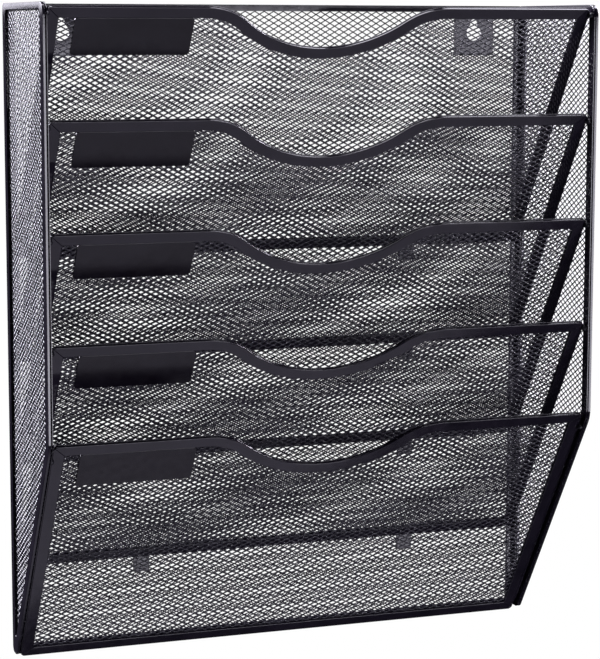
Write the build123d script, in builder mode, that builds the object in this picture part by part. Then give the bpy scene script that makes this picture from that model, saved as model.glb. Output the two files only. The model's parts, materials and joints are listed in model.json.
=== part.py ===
from build123d import *

import os
from math import atan2, cos, degrees, hypot, radians, sin, tan

# Wall-hung file organizer in black powder-coated steel: a shell of three expanded-metal
# panels in flat steel strip (the back and two sides), and five slanted pocket fronts of
# the same make. Each pocket front leans out from the back panel to the front of the shell.
#
# Frame: the origin is midway between the two keyholes, on the wall plane.
# +X is to the right seen from the front, +Y points into the wall, +Z is up. Millimetres.

# ---------------------------------------------------------------- shell
width = 330.0  # over the two side frames
depth = 101.5  # from the wall to the front edge of the side frames
rim_height = 16.3  # rim of the shell above the keyhole centres
shell_height = 383.0  # from the rim to the lower tips of the sides
bend_drop = 243.5  # from the rim down to where the side's front edge turns back
tip_width = 10.0  # width of a side at its lower tip
shell_strip = 1.5  # thickness of the shell's flat strip
strip_width = 6.8  # width of the flat strip round the sides' openings and the pockets
narrow_strip_width = 3.8  # width of the strip along the rim and all round the back
mesh_thickness = 0.8
mesh_inset = 0.8  # mesh stops short of the strip's outer edge
corner_gap = 0.4  # between the back panel's edge and a side's mesh
back_corner_radius = 1.0
side_radii = [3.0, 7.0, 16.0, 4.0, 4.0]  # rim back, rim front, bend, tip front, tip back
side_hole_radii = [2.0, 2.5, 12.0, 1.5]  # rim back, rim front, bend, lower point

# ---------------------------------------------------------------- hanger plates and keyholes
keyhole_spacing = 262.0
keyhole_radius = 5.0
slot_width = 5.0
slot_top = 8.2  # top end of the slot above the keyhole centre
hanger_width = 26.0
hanger_drop = 14.0  # lower edge of the plate below the keyhole centre
window_inset = 0.8  # mesh laps over the plate's border by this much

# ---------------------------------------------------------------- pocket fronts
pocket_width = 322.5
pocket_strip = 1.2  # thickness of the pocket's flat strip
pocket_reach = 98.5  # front face of a pocket's top edge, from the wall
pocket_foot = 4.1  # front face of a pocket's bottom edge, from the wall
pocket_drop = 144.0  # height of a pocket front, measured upright
first_tier_drop = 3.0  # first pocket's top edge below the rim
tier_spacing = 61.3
last_tier_spacing = 55.0
pocket_count = 5
pocket_corner_radius = 2.5
scoop_width = 144.0
scoop_depth = 26.8
shoulder_radius = 38.0

# ---------------------------------------------------------------- label plates
label_width = 67.5
label_height = 24.0
label_thickness = 1.0
label_left_gap = 15.7  # from the pocket's left edge
label_top_gap = 0.15  # below the top rail
label_radius = 2.0

# ---------------------------------------------------------------- tabs and tack welds
back_tab_width = 10.0
back_tab_drop = 9.5
back_tab_x = 86.0
corner_tab_height = 3.0
corner_tab_drop = 2.8  # down the pocket front from its top edge
last_corner_tab_drop = 9.0
seam_tack_height = 4.0
seam_tack_heights = [-20.0, -120.0, -220.0, -320.0]
bottom_tack_width = 8.0
bottom_tack_rise = 3.0
touch_gap = 0.01  # keeps two touching solids from cutting into each other

# ---------------------------------------------------------------- worked-out values
rim_z = rim_height
bottom_z = rim_z - shell_height
side_outer_x = width / 2
side_strip_inner_x = side_outer_x - shell_strip
side_mesh_inner_x = side_strip_inner_x - mesh_thickness
back_half_width = side_mesh_inner_x - corner_gap
back_mesh_front_y = -shell_strip - mesh_thickness

lean = atan2(pocket_reach - pocket_foot, pocket_drop)
pocket_length = hypot(pocket_reach - pocket_foot, pocket_drop)
pocket_half_width = pocket_width / 2
scoop_turn = 2 * atan2(scoop_depth, scoop_width / 2)
valley_radius = scoop_width / 2 / sin(scoop_turn) - shoulder_radius

tier_drops = [first_tier_drop + tier_spacing * tier for tier in range(pocket_count - 1)]
tier_drops.append(tier_drops[-1] + last_tier_spacing)


def save(name, builder):
    """Labels a finished piece and writes it as one STEP file."""
    builder.part.label = name
    export_step(builder.part, f"parts/{name}.step")


def inset_corners(points, distance):
    """The corners of a convex outline, given anticlockwise, moved inwards by distance."""
    moved = []
    for before, corner, after in zip(points[-1:] + points[:-1], points, points[1:] + points[:1]):
        edge_in = (Vector(*corner) - Vector(*before)).normalized()
        edge_out = (Vector(*after) - Vector(*corner)).normalized()
        bisector = Vector(-edge_in.Y - edge_out.Y, edge_in.X + edge_out.X).normalized()
        half_turn = edge_in.get_angle(edge_out) / 2
        reach = distance / cos(radians(half_turn))
        moved.append((corner[0] + bisector.X * reach, corner[1] + bisector.Y * reach))
    return moved


# ================================================================ side panels
# Outline in the side's own plane: across is Y, up is Z.
side_corners = [
    (0, rim_z),
    (-depth, rim_z),
    (-depth, rim_z - bend_drop),
    (-tip_width, bottom_z),
    (0, bottom_z),
]
side_mesh_corners = inset_corners(side_corners, mesh_inset)

# The opening in the frame ends below in a point, where its slanted edge meets the back strip.
slant_rise = (shell_height - bend_drop) / (depth - tip_width)
side_point = (0, bottom_z - tip_width * slant_rise)
side_hole_corners = inset_corners(side_corners[:3] + [side_point], strip_width)
for rim_corner in (0, 1):
    side_hole_corners[rim_corner] = (side_hole_corners[rim_corner][0], rim_z - narrow_strip_width)


def side_outline(corners, radii):
    with BuildSketch() as outline:
        with BuildLine():
            FilletPolyline(*corners, radius=radii, close=True)
        make_face()
    return outline.sketch


def make_side(side, sign):
    """One side panel: flat strip on the outside, mesh on the inside."""
    strip_x = sign * side_strip_inner_x
    with BuildPart() as side_frame:
        with BuildSketch(Plane.YZ.offset(strip_x)):
            add(side_outline(side_corners, side_radii))
            add(side_outline(side_hole_corners, side_hole_radii), mode=Mode.SUBTRACT)
        extrude(amount=sign * shell_strip)
    save(f"{side}_side_frame", side_frame)

    with BuildPart() as side_mesh:
        with BuildSketch(Plane.YZ.offset(strip_x)):
            add(side_outline(side_mesh_corners, side_radii))
        extrude(amount=-sign * mesh_thickness)
    save(f"{side}_side_mesh", side_mesh)


# ================================================================ back panel
# Plane.XZ looks along -Y, so a positive extrusion comes out from the wall.
back_center_z = rim_z - shell_height / 2


def back_rail(corners):
    """A mitred strip of the back frame, trimmed to the frame's rounded corners."""
    with BuildPart() as rail:
        with BuildSketch(Plane.XZ):
            with BuildLine():
                Polyline(*corners, close=True)
            make_face()
            with Locations((0, back_center_z)):
                RectangleRounded(
                    2 * back_half_width, shell_height, back_corner_radius, mode=Mode.INTERSECT
                )
        extrude(amount=shell_strip)
    return rail


def make_back_frame():
    outer = back_half_width
    inner = back_half_width - narrow_strip_width
    top_inner = rim_z - narrow_strip_width
    bottom_inner = bottom_z + narrow_strip_width
    save(
        "back_top_rail",
        back_rail([(-outer, rim_z), (-inner, top_inner), (inner, top_inner), (outer, rim_z)]),
    )
    save(
        "back_bottom_rail",
        back_rail(
            [(-outer, bottom_z), (outer, bottom_z), (inner, bottom_inner), (-inner, bottom_inner)]
        ),
    )
    right_rail = back_rail(
        [(outer, rim_z), (inner, top_inner), (inner, bottom_inner), (outer, bottom_z)]
    )
    with BuildPart() as back_side_rails:
        add(right_rail.part)
        mirror(about=Plane.YZ)
    save("back_side_rails", back_side_rails)


def make_back_mesh():
    """The back's mesh in front of its frame, open behind the two keyholes."""
    window_top = rim_z - narrow_strip_width
    window_bottom = -hanger_drop + window_inset
    window_middle = (window_top + window_bottom) / 2
    with BuildPart() as back_mesh:
        with BuildSketch(Plane.XZ.offset(shell_strip)):
            with Locations((0, back_center_z)):
                RectangleRounded(
                    2 * (back_half_width - mesh_inset),
                    shell_height - 2 * mesh_inset,
                    back_corner_radius - mesh_inset,
                )
            with Locations((-keyhole_spacing / 2, window_middle), (keyhole_spacing / 2, window_middle)):
                Rectangle(
                    hanger_width - 2 * window_inset, window_top - window_bottom, mode=Mode.SUBTRACT
                )
        extrude(amount=mesh_thickness)
    save("back_mesh", back_mesh)


def make_hanger_plate(side, sign):
    """A steel plate on the wall plane with a keyhole: round below, slot running up."""
    plate_top = rim_z - narrow_strip_width
    slot_straight = slot_top - slot_width / 2
    with BuildPart() as hanger_plate:
        with BuildSketch(Plane.XZ):
            with Locations((sign * keyhole_spacing / 2, (plate_top - hanger_drop) / 2)):
                Rectangle(hanger_width, plate_top + hanger_drop)
            with Locations((sign * keyhole_spacing / 2, 0)):
                Circle(keyhole_radius, mode=Mode.SUBTRACT)
            with Locations((sign * keyhole_spacing / 2, slot_straight / 2)):
                Rectangle(slot_width, slot_straight, mode=Mode.SUBTRACT)
            with Locations((sign * keyhole_spacing / 2, slot_straight)):
                Circle(slot_width / 2, mode=Mode.SUBTRACT)
        extrude(amount=shell_strip)
    save(f"hanger_plate_{side}", hanger_plate)


def make_seam_tacks(side, sign):
    """Tack welds that close the gap between the back frame and a side's mesh."""
    with BuildPart() as tacks:
        for height in seam_tack_heights:
            with Locations((sign * (back_half_width + corner_gap / 2), -shell_strip / 2, height)):
                Box(corner_gap, shell_strip, seam_tack_height)
    save(f"{side}_seam_tacks", tacks)


# ================================================================ pocket fronts
def pocket_plane(tier):
    """The front face of a pocket: X across, Y up the slope, origin on its top edge."""
    return Plane(
        origin=(0, -pocket_reach, rim_z - tier_drops[tier]),
        x_dir=(1, 0, 0),
        z_dir=(0, -cos(lean), -sin(lean)),
    )


def scooped_edge(inset):
    """The dip in a pocket's top edge, as three tangent arcs, inset below that edge."""
    turn = degrees(scoop_turn)
    shoulder = shoulder_radius - inset
    into = JernArc((-scoop_width / 2, -inset), (1, 0), shoulder, -turn)
    valley = JernArc(into @ 1, into % 1, valley_radius + inset, 2 * turn)
    return JernArc(valley @ 1, valley % 1, shoulder, -turn)


def trim_to_pocket():
    """Rounds the pocket's outer corners on the sketch being drawn."""
    with Locations((0, -pocket_length / 2)):
        RectangleRounded(pocket_width, pocket_length, pocket_corner_radius, mode=Mode.INTERSECT)


def make_top_rail(tier):
    outer = pocket_half_width
    inner = pocket_half_width - strip_width
    start = scoop_width / 2
    with BuildPart() as top_rail:
        with BuildSketch(pocket_plane(tier)):
            with BuildLine():
                scooped_edge(0)
                Line((start, 0), (outer, 0))
                Line((outer, 0), (inner, -strip_width))
                Line((inner, -strip_width), (start, -strip_width))
                scooped_edge(strip_width)
                Line((-start, -strip_width), (-inner, -strip_width))
                Line((-inner, -strip_width), (-outer, 0))
                Line((-outer, 0), (-start, 0))
            make_face()
            trim_to_pocket()
        extrude(amount=-pocket_strip)
    save(f"pocket_{tier + 1}_top_rail", top_rail)


def make_side_rails(tier):
    outer = pocket_half_width
    inner = pocket_half_width - strip_width
    foot = -pocket_length
    with BuildPart() as side_rails:
        with BuildSketch(pocket_plane(tier)):
            with BuildLine():
                Polyline(
                    (outer, 0),
                    (inner, -strip_width),
                    (inner, foot + strip_width),
                    (outer, foot),
                    close=True,
                )
            make_face()
            mirror(about=Plane.YZ)
            trim_to_pocket()
        extrude(amount=-pocket_strip)
    save(f"pocket_{tier + 1}_side_rails", side_rails)


def make_bottom_rail(tier):
    outer = pocket_half_width
    inner = pocket_half_width - strip_width
    foot = -pocket_length
    with BuildPart() as bottom_rail:
        with BuildSketch(pocket_plane(tier)):
            with BuildLine():
                Polyline(
                    (-outer, foot),
                    (outer, foot),
                    (inner, foot + strip_width),
                    (-inner, foot + strip_width),
                    close=True,
                )
            make_face()
            trim_to_pocket()
        extrude(amount=-pocket_strip)
    save(f"pocket_{tier + 1}_bottom_rail", bottom_rail)


def make_pocket_mesh(tier):
    """The mesh behind a pocket's rails, with the same scooped top edge."""
    edge = pocket_half_width - mesh_inset
    foot = -pocket_length + mesh_inset
    start = scoop_width / 2
    with BuildPart() as pocket_mesh:
        with BuildSketch(pocket_plane(tier).offset(-pocket_strip)):
            with BuildLine():
                scooped_edge(mesh_inset)
                Line((start, -mesh_inset), (edge, -mesh_inset))
                Line((edge, -mesh_inset), (edge, foot))
                Line((edge, foot), (-edge, foot))
                Line((-edge, foot), (-edge, -mesh_inset))
                Line((-edge, -mesh_inset), (-start, -mesh_inset))
            make_face()
        extrude(amount=-mesh_thickness)
    save(f"pocket_{tier + 1}_mesh", pocket_mesh)


def make_label_plate(tier):
    """A blank plate for a label, on the mesh just under the left of the top rail."""
    center_x = -pocket_half_width + label_left_gap + label_width / 2
    center_y = -strip_width - label_top_gap - label_height / 2
    with BuildPart() as label_plate:
        with BuildSketch(pocket_plane(tier).offset(-pocket_strip)):
            with Locations((center_x, center_y)):
                RectangleRounded(label_width, label_height, label_radius)
        extrude(amount=label_thickness)
    save(f"pocket_{tier + 1}_label_plate", label_plate)


def make_corner_tabs(tier):
    """Two lugs that weld a pocket's upper corners to the meshes of the sides."""
    drop = last_corner_tab_drop if tier == pocket_count - 1 else corner_tab_drop
    reach = side_mesh_inner_x - pocket_half_width
    middle = pocket_half_width + reach / 2
    with BuildPart() as corner_tabs:
        with BuildSketch(pocket_plane(tier)):
            with Locations(
                (middle, -drop - corner_tab_height / 2), (-middle, -drop - corner_tab_height / 2)
            ):
                Rectangle(reach, corner_tab_height)
        extrude(amount=-pocket_strip)
    save(f"pocket_{tier + 1}_corner_tabs", corner_tabs)


def make_back_tabs(tier):
    """Two tongues under a pocket's bottom rail, welded flat on the back's mesh."""
    foot_y = -pocket_foot
    foot_z = rim_z - tier_drops[tier] - pocket_drop
    tab_back = back_mesh_front_y
    tab_front = tab_back - pocket_strip
    slope = tan(lean)
    with BuildPart() as back_tabs:
        for x in (-back_tab_x, back_tab_x):
            with BuildSketch(Plane.YZ.offset(x - back_tab_width / 2)):
                with BuildLine():
                    Polyline(
                        (tab_back, foot_z - back_tab_drop),
                        (tab_front, foot_z - back_tab_drop),
                        (tab_front, foot_z + (tab_front - foot_y) * slope - touch_gap),
                        (tab_back, foot_z + (tab_back - foot_y) * slope - touch_gap),
                        close=True,
                    )
                make_face()
            extrude(amount=back_tab_width)
    save(f"pocket_{tier + 1}_back_tabs", back_tabs)


def make_bottom_tacks(tier):
    """Tack welds in the corner between the last pocket's mesh and the back's mesh."""
    foot_z = rim_z - tier_drops[tier] - pocket_drop
    panel_thickness = pocket_strip + mesh_thickness
    inner_foot_y = -pocket_foot + panel_thickness / cos(lean)
    low_z = bottom_z + mesh_inset + touch_gap
    high_z = low_z + bottom_tack_rise
    low_y = inner_foot_y - (low_z - foot_z) * tan(lean) + touch_gap
    high_y = inner_foot_y - (high_z - foot_z) * tan(lean) + touch_gap
    with BuildPart() as bottom_tacks:
        for x in (-back_tab_x, 0, back_tab_x):
            with BuildSketch(Plane.YZ.offset(x - bottom_tack_width / 2)):
                with BuildLine():
                    Polyline(
                        (back_mesh_front_y, low_z),
                        (low_y, low_z),
                        (high_y, high_z),
                        (back_mesh_front_y, high_z),
                        close=True,
                    )
                make_face()
            extrude(amount=bottom_tack_width)
    save(f"pocket_{tier + 1}_bottom_tacks", bottom_tacks)


# ================================================================ the whole organizer
os.makedirs("parts", exist_ok=True)

make_back_frame()
make_back_mesh()
for side, sign in (("left", -1), ("right", 1)):
    make_side(side, sign)
    make_hanger_plate(side, sign)
    make_seam_tacks(side, sign)

for tier in range(pocket_count):
    make_top_rail(tier)
    make_side_rails(tier)
    make_bottom_rail(tier)
    make_pocket_mesh(tier)
    make_label_plate(tier)
    make_corner_tabs(tier)
    if tier < pocket_count - 1:
        make_back_tabs(tier)
    else:
        make_bottom_tacks(tier)
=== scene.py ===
import json
from math import atan2, cos, radians, sin

import bmesh
import bpy
import numpy as np
from mathutils import Matrix, Quaternion, Vector, noise


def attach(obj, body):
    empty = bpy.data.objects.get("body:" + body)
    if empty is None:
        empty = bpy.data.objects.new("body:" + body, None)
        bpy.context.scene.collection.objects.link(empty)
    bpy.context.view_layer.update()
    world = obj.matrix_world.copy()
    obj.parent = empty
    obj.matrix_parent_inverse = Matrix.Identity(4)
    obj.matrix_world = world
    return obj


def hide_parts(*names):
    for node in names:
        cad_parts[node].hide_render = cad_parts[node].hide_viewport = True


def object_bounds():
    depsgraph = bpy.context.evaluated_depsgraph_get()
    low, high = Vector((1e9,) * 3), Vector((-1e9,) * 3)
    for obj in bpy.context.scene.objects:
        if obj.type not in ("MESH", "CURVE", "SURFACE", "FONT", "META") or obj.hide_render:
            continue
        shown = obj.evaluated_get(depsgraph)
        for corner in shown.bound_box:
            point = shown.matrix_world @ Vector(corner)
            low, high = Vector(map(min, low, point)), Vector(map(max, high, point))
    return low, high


# A wall-hung file organizer in black powder-coated steel. The strips, plates and tabs are the
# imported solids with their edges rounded, and each strip has the second leg of its folded hem on the
# other side of its mesh. Each mesh panel is real flattened expanded metal, cut to the outline of its
# packed sheet. Lengths are in metres, in the frame's own axes.

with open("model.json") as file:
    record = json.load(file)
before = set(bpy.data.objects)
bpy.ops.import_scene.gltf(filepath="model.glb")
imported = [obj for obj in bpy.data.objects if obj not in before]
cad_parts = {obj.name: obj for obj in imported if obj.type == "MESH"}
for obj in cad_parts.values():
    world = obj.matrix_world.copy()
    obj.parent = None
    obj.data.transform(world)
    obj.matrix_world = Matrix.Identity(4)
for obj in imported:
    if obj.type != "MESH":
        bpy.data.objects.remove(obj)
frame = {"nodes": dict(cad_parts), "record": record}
cad_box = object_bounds()
slot_of = {part["node"]: part["material_slot"] for part in frame["record"]["subparts"]}

MM = 0.001

# ---------------------------------------------------------------- expanded metal
diamond_width = 6.0 * MM
diamond_height = 3.5 * MM
strand_width = 0.58 * MM
strand_thickness = 0.5 * MM
strip_side_cosine = 0.7  # a sheet's face on its strips' side is turned outward at least this much
same_plane_cosine = 0.999  # faces of one flat side are turned alike at least this much
outline_digits = 7  # decimals, in metres, to which the corners of an outline are matched

# ---------------------------------------------------------------- steel edges and welds
strip_edge_radius = 0.35 * MM
plate_edge_radius = 0.25 * MM
edge_segments = 3  # faces across a rounded edge
merge_distance = 0.01 * MM
flat_angle = radians(0.5)  # faces that meet at less than this are one flat face
sheared_angle = radians(30)  # sharper edges than this are rounded
crease_angle = radians(50)  # sharper edges than this are shaded as creases
hem_gap = 0.65 * MM  # room for the mesh between the two legs of a folded hem
second_leg_thickness = 0.5 * MM
seam_growth = (1.9, 1.5, 1.25)  # a weld bead against the plain block it stands for
corner_growth = (2.6, 2.2, 1.1)
corner_reach = Vector((0, -1.2, 0)) * MM  # corner beads run out to the front edge of the sides
weld_lump = 0.22  # height of a bead's lumps, as a share of its size
lumps_per_radius = 1.7
lump_offset = 900  # gives each bead its own stretch of the noise

# ---------------------------------------------------------------- powder coat
noise_span = (0.35, 0.65)  # most values of a noise texture lie between these
tone_scale = 60  # lumps per metre
gloss_scale = 220
peel_depth = 0.1 * MM

# ---------------------------------------------------------------- camera
eye = Vector((-0.4265, -1.2337, 0.0017))
heading = 0.3452  # turned from +Y towards +X
tilt = -0.1385
roll = 0.0018
lens = 117.58  # in mm, as is the sensor, which runs along the picture's long side
sensor = 36

# ---------------------------------------------------------------- floor and surroundings
floor_drop = 2.3  # the floor below the organizer, which hangs on a wall
floor_reach = 2.32  # and its middle in front of that wall
floor_radius = 2.0
floor_color = (0.42, 0.41, 0.44, 1)
floor_roughness = 0.8
backdrop_color = (1, 1, 1, 1)
room_color = (0.93, 0.93, 1.0, 1)
room_strength = 0.02
light_color = (0.90, 0.88, 1.0)

# ---------------------------------------------------------------- directions
UP = Vector((0, 0, 1))
LEFT = Vector((-1, 0, 0))
RIGHT = Vector((1, 0, 0))
TO_WALL = Vector((0, 1, 0))
OFF_POCKET = Vector((0, -0.8363, -0.5483))  # square to the pocket panels, forward and down


# ================================================================ materials
def new_material(name):
    """A material made of nodes, with its node tree and its surface shader."""
    material = bpy.data.materials.new(name)
    material.use_nodes = True
    tree = material.node_tree
    shader = tree.nodes["Principled BSDF"]
    return material, tree, shader


def object_noise(tree, scale, detail):
    """Noise in the object's own coordinates; scale is in lumps per metre."""
    place = tree.nodes.new("ShaderNodeTexCoord")
    texture = tree.nodes.new("ShaderNodeTexNoise")
    texture.inputs["Scale"].default_value = scale
    texture.inputs["Detail"].default_value = detail
    tree.links.new(place.outputs["Object"], texture.inputs["Vector"])
    return texture.outputs["Fac"]


def remap(tree, value, low, high):
    """A noise value stretched to run from low to high."""
    node = tree.nodes.new("ShaderNodeMapRange")
    node.inputs["From Min"].default_value = noise_span[0]
    node.inputs["From Max"].default_value = noise_span[1]
    node.inputs["To Min"].default_value = low
    node.inputs["To Max"].default_value = high
    tree.links.new(value, node.inputs["Value"])
    return node.outputs["Result"]


def powder_coat(name, dark, light, roughness, peel, peel_scale, gloss):
    """Black powder coat: uneven tone and gloss, with a fine orange-peel surface."""
    material, tree, shader = new_material(name)
    tone = tree.nodes.new("ShaderNodeMix")
    tone.data_type = "RGBA"
    tone.inputs["A"].default_value = (*dark, 1)
    tone.inputs["B"].default_value = (*light, 1)
    tree.links.new(remap(tree, object_noise(tree, tone_scale, detail=5), 0, 1), tone.inputs["Factor"])
    tree.links.new(tone.outputs["Result"], shader.inputs["Base Color"])
    uneven = remap(tree, object_noise(tree, gloss_scale, detail=4), *roughness)
    tree.links.new(uneven, shader.inputs["Roughness"])
    bump = tree.nodes.new("ShaderNodeBump")
    bump.inputs["Strength"].default_value = peel
    bump.inputs["Distance"].default_value = peel_depth
    tree.links.new(object_noise(tree, peel_scale, detail=2), bump.inputs["Height"])
    tree.links.new(bump.outputs["Normal"], shader.inputs["Normal"])
    shader.inputs["Specular IOR Level"].default_value = gloss
    return material


materials = {
    "strip": powder_coat(
        "strip_coat",
        dark=(0.006, 0.005, 0.009),
        light=(0.011, 0.009, 0.015),
        roughness=(0.06, 0.10),
        peel=0.05,
        peel_scale=1100,
        gloss=0.39,
    ),
    "mesh": powder_coat(
        "mesh_coat",
        dark=(0.010, 0.009, 0.014),
        light=(0.017, 0.015, 0.023),
        roughness=(0.22, 0.32),
        peel=0.10,
        peel_scale=1500,
        gloss=0.44,
    ),
    "hanger_plate": powder_coat(
        "hanger_plate_coat",
        dark=(0.030, 0.029, 0.034),
        light=(0.042, 0.040, 0.047),
        roughness=(0.20, 0.30),
        peel=0.2,
        peel_scale=1000,
        gloss=1.0,
    ),
    "label_plate": powder_coat(
        "label_plate_coat",
        dark=(0.003, 0.002, 0.004),
        light=(0.006, 0.005, 0.008),
        roughness=(0.16, 0.24),
        peel=0.06,
        peel_scale=1300,
        gloss=0.34,
    ),
    # The weld coat's dark and light tones are painted lighter than the strips' black coat. This is a
    # painted highlight for the light the beads catch from above; the noise between the two tones is
    # uneven tone.
    "weld": powder_coat(
        "weld_coat_painted_highlight",
        dark=(0.012, 0.012, 0.015),
        light=(0.024, 0.023, 0.028),
        roughness=(0.14, 0.26),
        peel=0.35,
        peel_scale=700,
        gloss=0.36,
    ),
}


def show(name, mesh, slot, *nodes):
    """Makes a piece from a mesh: finished in its slot's coat, on the one body, in place of nodes."""
    mesh.materials.append(materials[slot])
    piece = bpy.data.objects.new(name, mesh)
    bpy.context.scene.collection.objects.link(piece)
    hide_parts(*nodes)
    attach(piece, "root")
    return piece


# ================================================================ strips, plates and tabs
def welded_copy(node):
    """A node's mesh with its split corners joined and its flat faces whole."""
    work = bmesh.new()
    work.from_mesh(frame["nodes"][node].data)
    bmesh.ops.remove_doubles(work, verts=work.verts, dist=merge_distance)
    bmesh.ops.dissolve_limit(work, angle_limit=flat_angle, verts=work.verts, edges=work.edges)
    return work


def add_second_leg(work, outward):
    """Repeats a strip on the other side of its mesh as a thinner leg, the rest of the folded hem."""
    depths = [vertex.co.dot(outward) for vertex in work.verts]
    seat = min(depths)
    share = second_leg_thickness / (max(depths) - seat)
    copied = bmesh.ops.duplicate(work, geom=work.verts[:] + work.edges[:] + work.faces[:])
    for vertex in (item for item in copied["geom"] if isinstance(item, bmesh.types.BMVert)):
        depth = vertex.co.dot(outward) - seat
        moved = depth * share - hem_gap - second_leg_thickness
        vertex.co += outward * (moved - depth)


def rounded_steel(node, slot, radius, hem_outward=None):
    """A strip, plate or tab with all its sheared edges rounded, as the coat leaves them."""
    work = welded_copy(node)
    sheared = [edge for edge in work.edges if edge.is_manifold and edge.calc_face_angle() > sheared_angle]
    bmesh.ops.bevel(
        work,
        geom=sheared,
        offset=radius,
        segments=edge_segments,
        profile=0.5,
        affect="EDGES",
        clamp_overlap=True,
    )
    bmesh.ops.remove_doubles(work, verts=work.verts, dist=merge_distance / 2)
    if hem_outward:
        add_second_leg(work, hem_outward)
    for face in work.faces:
        face.smooth = True
    mesh = bpy.data.meshes.new(node + "_rounded")
    work.to_mesh(mesh)
    work.free()
    mesh.set_sharp_from_angle(angle=crease_angle)
    piece = show(node + "_steel", mesh, slot, node)
    flat_faces = piece.modifiers.new("flat_faces", "WEIGHTED_NORMAL")
    flat_faces.keep_sharp = True


# ================================================================ weld beads
def loose_solids(node):
    """Lowest and highest corners of each separate solid in a node."""
    work = welded_copy(node)
    waiting = set(work.verts)
    corners = []
    while waiting:
        reached = [waiting.pop()]
        for vertex in reached:
            near = {edge.other_vert(vertex) for edge in vertex.link_edges} & waiting
            waiting -= near
            reached.extend(near)
        spots = np.array([vertex.co for vertex in reached])
        corners.append((Vector(spots.min(0)), Vector(spots.max(0))))
    work.free()
    return corners


def weld_beads(node, slot, growth, shift=Vector()):
    """Lumpy weld beads, one for each plain block of a node; none goes past the wall plane."""
    work = bmesh.new()
    for low, high in loose_solids(node):
        bead = bmesh.ops.create_icosphere(work, subdivisions=3, radius=1)
        middle = (low + high) / 2
        half = (high - low) / 2
        for vertex in bead["verts"]:
            lump = 1 + weld_lump * noise.noise(vertex.co * lumps_per_radius + middle * lump_offset)
            grown = Vector(a * b * c for a, b, c in zip(vertex.co, half, growth))
            vertex.co = middle + shift + grown * lump
            vertex.co.y = min(vertex.co.y, 0)
    for face in work.faces:
        face.smooth = True
    mesh = bpy.data.meshes.new(node + "_beads")
    work.to_mesh(mesh)
    work.free()
    show(node + "_welds", mesh, slot, node)


# ================================================================ expanded-metal panels
def seat_face(node, outward):
    """The face of a packed sheet that lies on its strips: a point on it and its normal."""
    mesh = frame["nodes"][node].data
    faces = [face for face in mesh.polygons if face.normal.dot(outward) > strip_side_cosine]
    biggest = max(faces, key=lambda face: face.area)
    return biggest.center.copy(), biggest.normal.copy()


def sheet_edges(node, origin, across, up, normal):
    """The outline of that face, windows included, as flat segments (start, end) in (u, v)."""
    mesh = frame["nodes"][node].data
    open_edges = set()
    for face in mesh.polygons:
        if face.normal.dot(normal) < same_plane_cosine:
            continue
        spots = [mesh.vertices[index].co - origin for index in face.vertices]
        pairs = [(spot.dot(across), spot.dot(up)) for spot in spots]
        flat = [(round(u, outline_digits), round(v, outline_digits)) for u, v in pairs]
        for start, end in zip(flat, flat[1:] + flat[:1]):
            if (end, start) in open_edges:
                open_edges.remove((end, start))
            else:
                open_edges.add((start, end))
    return np.array(sorted(open_edges))


def points_inside(points, edges):
    """Which points lie inside an outline, counting the edges that each one looks across."""
    u = points[:, 0:1]
    v = points[:, 1:2]
    (start_u, start_v), (end_u, end_v) = edges[:, 0].T, edges[:, 1].T
    spans = (start_v > v) != (end_v > v)
    rise = np.where(end_v == start_v, 1, end_v - start_v)
    meets = start_u + (v - start_v) * (end_u - start_u) / rise
    return ((meets > u) & spans).sum(1) % 2 == 1


def cut_share(start, end, edges):
    """How far along from start to end a strand first meets the outline, from 0 to 1."""
    run = end - start
    side = edges[:, 1] - edges[:, 0]
    away = edges[:, 0] - start
    turn = run[0] * side[:, 1] - run[1] * side[:, 0]
    turn = np.where(turn == 0, 1e-12, turn)
    along = (away[:, 0] * side[:, 1] - away[:, 1] * side[:, 0]) / turn
    beside = (away[:, 0] * run[1] - away[:, 1] * run[0]) / turn
    met = along[(along >= 0) & (along <= 1) & (beside >= 0) & (beside <= 1)]
    return float(met.min()) if len(met) else 1.0


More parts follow.
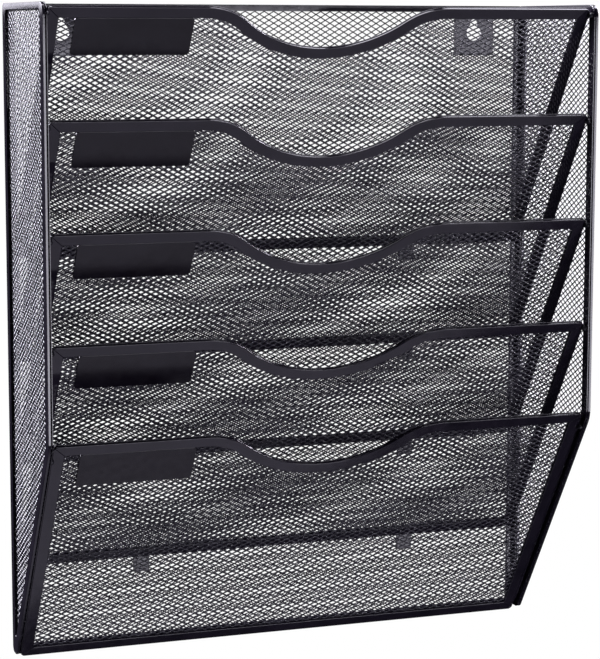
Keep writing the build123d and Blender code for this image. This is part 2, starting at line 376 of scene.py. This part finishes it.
def expanded_metal(edges, low_v, high_v):
    """Flat strands in diamonds, cut to an outline between two heights.

    Returns corner points (u, v, depth) and faces. Each joint of four strands has a corner to its
    right, top, left and bottom, which are also the corners of the four diamonds round it.
    """
    corners = edges.reshape(-1, 2)
    slope = atan2(diamond_height, diamond_width)
    joint_u = strand_width / 2 / sin(slope)
    joint_v = strand_width / 2 / cos(slope)
    offsets = np.array([(joint_u, 0), (0, joint_v), (-joint_u, 0), (0, -joint_v)])
    half = np.array([diamond_width, diamond_height]) / 2
    first = np.floor(corners.min(0) / half).astype(int) - 1
    last = np.ceil(corners.max(0) / half).astype(int) + 1
    grid = [
        (column, row)
        for row in range(first[1], last[1] + 1)
        for column in range(first[0], last[0] + 1)
        if (row + column) % 2 == 0
    ]
    centers = np.array(grid) * half
    inside = points_inside(centers, edges)
    inside &= (centers[:, 1] > low_v) & (centers[:, 1] < high_v)
    limits = [[(corners[:, 0].min(), level), (corners[:, 0].max(), level)] for level in (low_v, high_v)]
    cutters = np.concatenate([edges, np.array(limits)])

    points = []
    faces = []

    def add_points(flat):
        """Adds front and back points; returns the first front index and the first back index."""
        front = len(points)
        points.extend((u, v, 0.0) for u, v in flat)
        points.extend((u, v, -strand_thickness) for u, v in flat)
        return front, front + len(flat)

    joints = {}
    for spot, center, kept in zip(grid, centers, inside):
        if kept:
            front, back = add_points(center + offsets)
            joints[spot] = (front, back)
            faces.append((front, front + 1, front + 2, front + 3))
            faces.append((back + 3, back + 2, back + 1, back))

    def strand_end(joint, corners, middle, flat, far_middle, far_flat):
        """A strand's two front and two back points: its joint's corners, or a cut short of it."""
        if joint in joints:
            front, back = joints[joint]
            return [front + corner for corner in corners], [back + corner for corner in corners]
        share = cut_share(far_middle, middle, cutters)
        front, back = add_points(far_flat + (flat - far_flat) * share)
        return [front, front + 1], [back, back + 1]

    # For a strand that climbs or falls to the right: its corners at its left joint and at its
    # right joint, lower one first.
    strand_kinds = ((1, (0, 1), (3, 2)), (-1, (3, 0), (2, 1)))
    for (column, row), center in zip(grid, centers):
        for climb, left_corners, right_corners in strand_kinds:
            left = (column, row)
            right = (column + 1, row + climb)
            if left not in joints and right not in joints:
                continue
            right_center = center + half * (1, climb)
            left_flat = center + offsets[list(left_corners)]
            right_flat = right_center + offsets[list(right_corners)]
            left_front, left_back = strand_end(
                left, left_corners, center, left_flat, right_center, right_flat
            )
            right_front, right_back = strand_end(
                right, right_corners, right_center, right_flat, center, left_flat
            )
            if left not in joints:
                faces.append((left_front[0], left_front[1], left_back[1], left_back[0]))
            if right not in joints:
                faces.append((right_front[1], right_front[0], right_back[0], right_back[1]))
            faces.append((left_front[0], right_front[0], right_front[1], left_front[1]))
            faces.append((left_back[1], right_back[1], right_back[0], left_back[0]))
            faces.append((left_front[1], right_front[1], right_back[1], left_back[1]))
            faces.append((right_front[0], left_front[0], left_back[0], right_back[0]))
    return points, faces


def mesh_panel(node, outward, pieces=1):
    """A panel of expanded metal on its strips; a big one comes in level bands that abut."""
    origin, normal = seat_face(node, outward)
    up = (UP - normal * UP.dot(normal)).normalized()
    across = up.cross(normal)
    edges = sheet_edges(node, origin, across, up, normal)
    heights = edges[:, :, 1]
    levels = np.linspace(heights.min() - diamond_height, heights.max() + diamond_height, pieces + 1)
    seat = Matrix((across, up, normal)).transposed()
    for number, (low_v, high_v) in enumerate(zip(levels, levels[1:])):
        points, faces = expanded_metal(edges, low_v, high_v)
        mesh = bpy.data.meshes.new(node)
        mesh.from_pydata([origin + seat @ Vector(point) for point in points], [], faces)
        mesh.shade_smooth()
        name = node + "_strands" + (f"_{number + 1}" if pieces > 1 else "")
        show(name, mesh, "mesh", node)


def outward_of(node):
    """The side of a mesh sheet on which its strips lie."""
    if node.startswith("back"):
        return TO_WALL
    if node.startswith("left"):
        return LEFT
    if node.startswith("right"):
        return RIGHT
    return OFF_POCKET


# ================================================================ stage, lights and camera
def pale_floor():
    """A plain pale floor far below the organizer, which hangs on a wall."""
    low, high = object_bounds()
    bpy.ops.mesh.primitive_circle_add(
        vertices=96,
        radius=floor_radius,
        fill_type="NGON",
        location=(0, -floor_reach, low.z - floor_drop),
    )
    floor = bpy.context.object
    floor.name = "floor"
    material, _, shader = new_material("floor_paint")
    shader.inputs["Base Color"].default_value = floor_color
    shader.inputs["Roughness"].default_value = floor_roughness
    floor.data.materials.append(material)


def white_surroundings():
    """White behind the organizer as the camera sees it, and a dim room for all other light."""
    world = bpy.data.worlds.new("studio")
    bpy.context.scene.world = world
    world.use_nodes = True
    tree = world.node_tree
    tree.nodes.clear()
    seen = tree.nodes.new("ShaderNodeBackground")
    seen.inputs["Color"].default_value = backdrop_color
    room = tree.nodes.new("ShaderNodeBackground")
    room.inputs["Color"].default_value = room_color
    room.inputs["Strength"].default_value = room_strength
    path = tree.nodes.new("ShaderNodeLightPath")
    choose = tree.nodes.new("ShaderNodeMixShader")
    output = tree.nodes.new("ShaderNodeOutputWorld")
    tree.links.new(path.outputs["Is Camera Ray"], choose.inputs["Fac"])
    tree.links.new(room.outputs["Background"], choose.inputs[1])
    tree.links.new(seen.outputs["Background"], choose.inputs[2])
    tree.links.new(choose.outputs["Shader"], output.inputs["Surface"])


def area_light(name, location, facing, size, watts):
    """A rectangular light that isn't seen itself."""
    lamp = bpy.data.lights.new(name, "AREA")
    lamp.shape = "RECTANGLE"
    lamp.size = size[0]
    lamp.size_y = size[1]
    lamp.energy = watts
    lamp.color = light_color
    light = bpy.data.objects.new(name, lamp)
    light.location = location
    light.rotation_mode = "QUATERNION"
    light.rotation_quaternion = facing.to_track_quat("-Z", "Y")
    light.visible_camera = False
    bpy.context.scene.collection.objects.link(light)


def softbox(name, place, size, watts):
    """A light that faces the middle of the organizer; its place is measured from there."""
    low, high = cad_box
    middle = (low + high) / 2
    location = middle + Vector(place)
    area_light(name, location, middle - location, size, watts)


def standing_panel(name, place, heights, width, watts):
    """An upright light behind the organizer, between two heights."""
    location = Vector((*place, sum(heights) / 2))
    facing = Vector((-place[0], -place[1], 0))
    area_light(name, location, facing, (width, heights[1] - heights[0]), watts)


def lights():
    """Soft studio light: above, in front and on both sides behind the organizer."""
    softbox("upper_right_softbox", place=(1.35, 0.5, 1.6), size=(1.0, 1.5), watts=62)
    softbox("upper_left_softbox", place=(-0.3, 0.5, 1.6), size=(0.7, 1.5), watts=42)
    softbox("front_softbox", place=(0.80, -2.15, -0.3), size=(1.2, 1.0), watts=42)
    softbox("left_rear_softbox", place=(-1.5, 1.7, 1.0), size=(1.3, 0.9), watts=235)
    standing_panel("left_rear_panel", place=(-1.6, 2.4), heights=(0.04, 1.7), width=2.6, watts=35)
    standing_panel("right_rear_panel", place=(1.98, 1.36), heights=(0.25, 1.3), width=0.8, watts=110)


def camera():
    """The camera, to the left of the organizer and level with its rim."""
    data = bpy.data.cameras.new("camera")
    data.lens = lens
    data.sensor_width = sensor
    view = bpy.data.objects.new("camera", data)
    forward = Vector((sin(heading) * cos(tilt), cos(heading) * cos(tilt), sin(tilt)))
    view.location = eye
    view.rotation_mode = "QUATERNION"
    level = forward.to_track_quat("-Z", "Y")
    view.rotation_quaternion = Quaternion(forward, -roll) @ level
    bpy.context.scene.collection.objects.link(view)
    bpy.context.scene.camera = view
    bpy.context.scene.view_settings.view_transform = "Standard"


# ================================================================ the whole organizer
for node, slot in slot_of.items():
    if slot == "mesh":
        mesh_panel(node, outward_of(node), pieces=2 if node == "back_mesh" else 1)
    elif slot == "strip":
        rounded_steel(node, slot, strip_edge_radius, outward_of(node))
    elif node.endswith("corner_tabs"):
        weld_beads(node, slot, corner_growth, corner_reach)
    elif slot == "weld" and not node.endswith("back_tabs"):
        weld_beads(node, slot, seam_growth)
    else:
        rounded_steel(node, slot, plate_edge_radius)

pale_floor()
white_surroundings()
lights()
camera()
